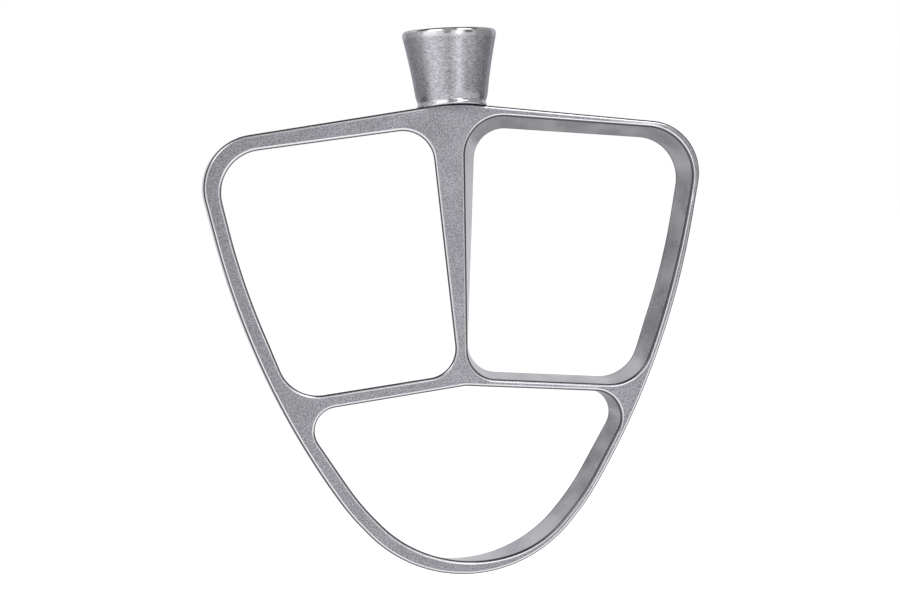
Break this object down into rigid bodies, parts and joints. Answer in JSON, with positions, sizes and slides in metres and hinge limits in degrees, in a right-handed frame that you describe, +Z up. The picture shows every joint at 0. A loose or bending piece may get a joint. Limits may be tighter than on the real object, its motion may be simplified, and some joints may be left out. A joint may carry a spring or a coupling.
{
  "type": "stand mixer k-beater",
  "caption": "Flat K-shaped cast beater with wedge-section bars and a flared cup round a pinned drive shank.",
  "frame": {"origin": "on the drive axis, in the middle of the shank's plain end that the mixer's socket grips", "axes": "+Z up along the drive axis towards the mixer, +X across the frame's width, +Y from the front face to the back face"},
  "size_m": [0.1516, 0.0282, 0.1642],
  "materials": {
    "cast_aluminium": "satin, tumbled casting",
    "turned_aluminium": "turned, with fine rings",
    "shank_steel": "ground",
    "pin_steel": "ground",
    "fastener_steel": "plain"
  },
  "bodies": {
    "root": {"k_frame": "cast_aluminium", "hub_cup": "turned_aluminium", "drive_shank": "shank_steel", "cross_pin": "pin_steel", "lock_nut": "fastener_steel", "lock_washer": "fastener_steel"}
  },
  "joints": []
}
